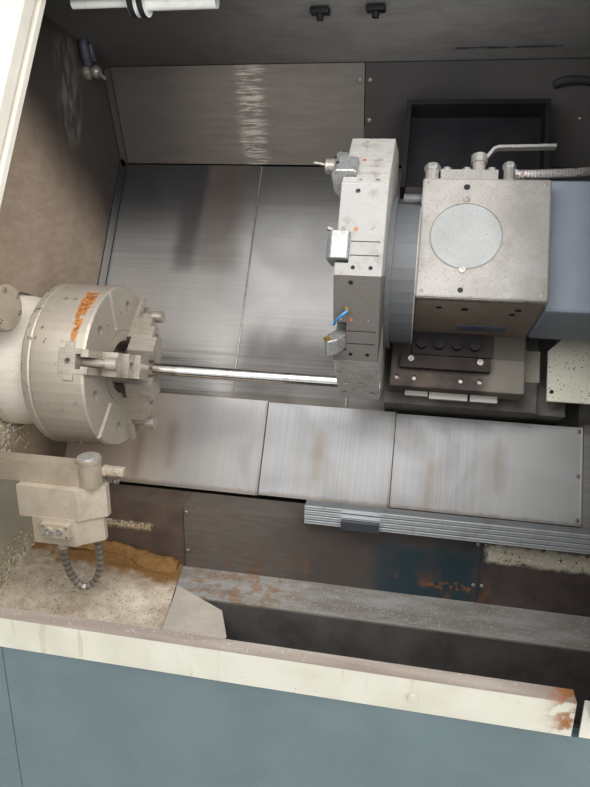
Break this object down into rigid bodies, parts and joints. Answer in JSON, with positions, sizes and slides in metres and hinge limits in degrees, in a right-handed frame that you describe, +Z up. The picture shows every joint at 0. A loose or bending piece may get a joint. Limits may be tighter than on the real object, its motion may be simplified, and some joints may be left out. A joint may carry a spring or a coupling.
{
  "type": "cnc turning lathe",
  "caption": "Slant-bed turning lathe with chuck, tool turret, cross slide, telescopic covers, sliding door and chip trough.",
  "frame": {"origin": "on the floor, under the middle of the machine's bounding box", "axes": "+X along the spindle axis away from the headstock, +Y away from the operator, +Z up"},
  "size_m": [2.9, 1.68, 1.89],
  "materials": {
    "cream_paint": "semi-gloss",
    "teal_paint": "semi-gloss",
    "beige_casting": "satin",
    "cast_iron": "machined",
    "stainless_sheet": "brushed",
    "dull_sheet": "dull",
    "machined_steel": "turned",
    "hardened_steel": "ground",
    "slate_paint": "satin",
    "black_cover": "matt",
    "aluminium": "anodised",
    "rusty_sheet": "rusty",
    "rubber": "matt",
    "window_glass": "clear",
    "lamp_tube": "gloss",
    "red_plastic": "gloss"
  },
  "bodies": {
    "machine": {"bed_casting": "cast_iron", "chip_trough": "dull_sheet", "rear_ledge": "dull_sheet", "lower_panel": "dull_sheet", "ribbed_rail": "aluminium", "chip_chute": "rusty_sheet", "wall_left": "stainless_sheet", "wall_right": "stainless_sheet", "top_panel": "stainless_sheet", "ceiling_panel": "dull_sheet", "lamp_tube": "lamp_tube", "front_panel_left": "cream_paint", "front_panel_right": "cream_paint", "roof_and_rear": "cream_paint", "end_panel_left": "cream_paint", "end_panel_right": "cream_paint", "base_panel": "teal_paint", "door_sill": "cream_paint", "lower_cover_fixed": "stainless_sheet", "upper_cover_fixed": "stainless_sheet", "headstock": "beige_casting", "nose_cover": "beige_casting", "main_motor": "cast_iron", "drive_belt": "rubber", "door_rail": "aluminium", "setter_arm": "beige_casting", "console": "cream_paint", "electrical_cabinet": "cream_paint", "coolant_tank": "teal_paint"},
    "spindle": {"spindle": "machined_steel", "chuck_body": "machined_steel"},
    "jaw_1": {"base_jaw_1": "hardened_steel", "top_jaw_1": "hardened_steel"},
    "jaw_2": {"base_jaw_2": "hardened_steel", "top_jaw_2": "hardened_steel"},
    "jaw_3": {"base_jaw_3": "hardened_steel", "top_jaw_3": "hardened_steel"},
    "motor_pulley": {"motor_pulley": "cast_iron"},
    "carriage": {"saddle": "cast_iron", "x_cover_frame": "black_cover", "cover_right": "stainless_sheet", "upper_cover_saddle": "stainless_sheet", "lower_cover_saddle": "stainless_sheet"},
    "upper_middle": {"upper_cover_middle": "stainless_sheet"},
    "lower_middle": {"lower_cover_middle": "stainless_sheet"},
    "cross_slide": {"cross_slide": "cast_iron", "turret_housing": "beige_casting", "motor_cover": "slate_paint", "coolant_hose": "machined_steel"},
    "turret": {"turret_disc": "machined_steel", "boring_bar": "machined_steel", "tool_holder_1": "hardened_steel", "tool_holder_2": "hardened_steel", "tool_holder_3": "hardened_steel"},
    "lever": {"valve_lever": "machined_steel"},
    "door": {"door": "cream_paint", "door_window": "window_glass"},
    "setter": {"setter_head": "beige_casting", "setter_conduit": "machined_steel"},
    "button": {"stop_button": "red_plastic"}
  },
  "joints": [
    {"name": "spindle_spin", "type": "hinge", "parent": "machine", "child": "spindle", "pos_m": [-0.35, -0.29, 1.15], "axis": [1, 0, 0], "continuous": true},
    {"name": "jaw_1_slide", "type": "slide", "parent": "spindle", "child": "jaw_1", "axis": [0, -0.9511, 0.309], "range_m": [0, 0.006]},
    {"name": "jaw_2_slide", "type": "slide", "parent": "spindle", "child": "jaw_2", "axis": [0, 0.7431, 0.6691], "range_m": [0, 0.006]},
    {"name": "jaw_3_slide", "type": "slide", "parent": "spindle", "child": "jaw_3", "axis": [0, 0.2079, -0.9781], "range_m": [0, 0.006]},
    {"name": "motor_spin", "type": "hinge", "parent": "machine", "child": "motor_pulley", "pos_m": [-0.35, -0.46, 0.65], "axis": [1, 0, 0], "continuous": true},
    {"name": "z_slide", "type": "slide", "parent": "machine", "child": "carriage", "axis": [1, 0, 0], "range_m": [0, 0.35]},
    {"name": "upper_cover_slide", "type": "slide", "parent": "machine", "child": "upper_middle", "axis": [1, 0, 0], "range_m": [0, 0.175]},
    {"name": "lower_cover_slide", "type": "slide", "parent": "machine", "child": "lower_middle", "axis": [1, 0, 0], "range_m": [0, 0.175]},
    {"name": "x_slide", "type": "slide", "parent": "carriage", "child": "cross_slide", "axis": [0, 0.5, 0.866], "range_m": [0, 0.2]},
    {"name": "turret_index", "type": "hinge", "parent": "cross_slide", "child": "turret", "pos_m": [0.1175, -0.181, 1.33879], "axis": [1, 0, 0], "continuous": true},
    {"name": "valve_turn", "type": "hinge", "parent": "cross_slide", "child": "lever", "pos_m": [0.305, -0.12913, 1.53863], "axis": [0, 0.5, 0.866], "range_deg": [-90, 0]},
    {"name": "door_slide", "type": "slide", "parent": "machine", "child": "door", "axis": [1, 0, 0], "range_m": [0, 0.93]},
    {"name": "setter_swing", "type": "hinge", "parent": "machine", "child": "setter", "pos_m": [-0.338, -0.47, 0.982], "axis": [0, 0, 1], "range_deg": [0, 90]},
    {"name": "button_press", "type": "slide", "parent": "machine", "child": "button", "axis": [0, 0.9857, -0.1683], "range_m": [0, 0.006], "stiffness_N_per_m": 800}
  ],
  "couplings": [
    {"joint": "jaw_2_slide", "follows": "jaw_1_slide", "ratio": 1},
    {"joint": "jaw_3_slide", "follows": "jaw_1_slide", "ratio": 1},
    {"joint": "motor_spin", "follows": "spindle_spin", "ratio": 1.5},
    {"joint": "upper_cover_slide", "follows": "z_slide", "ratio": 0.5},
    {"joint": "lower_cover_slide", "follows": "z_slide", "ratio": 0.5}
  ]
}
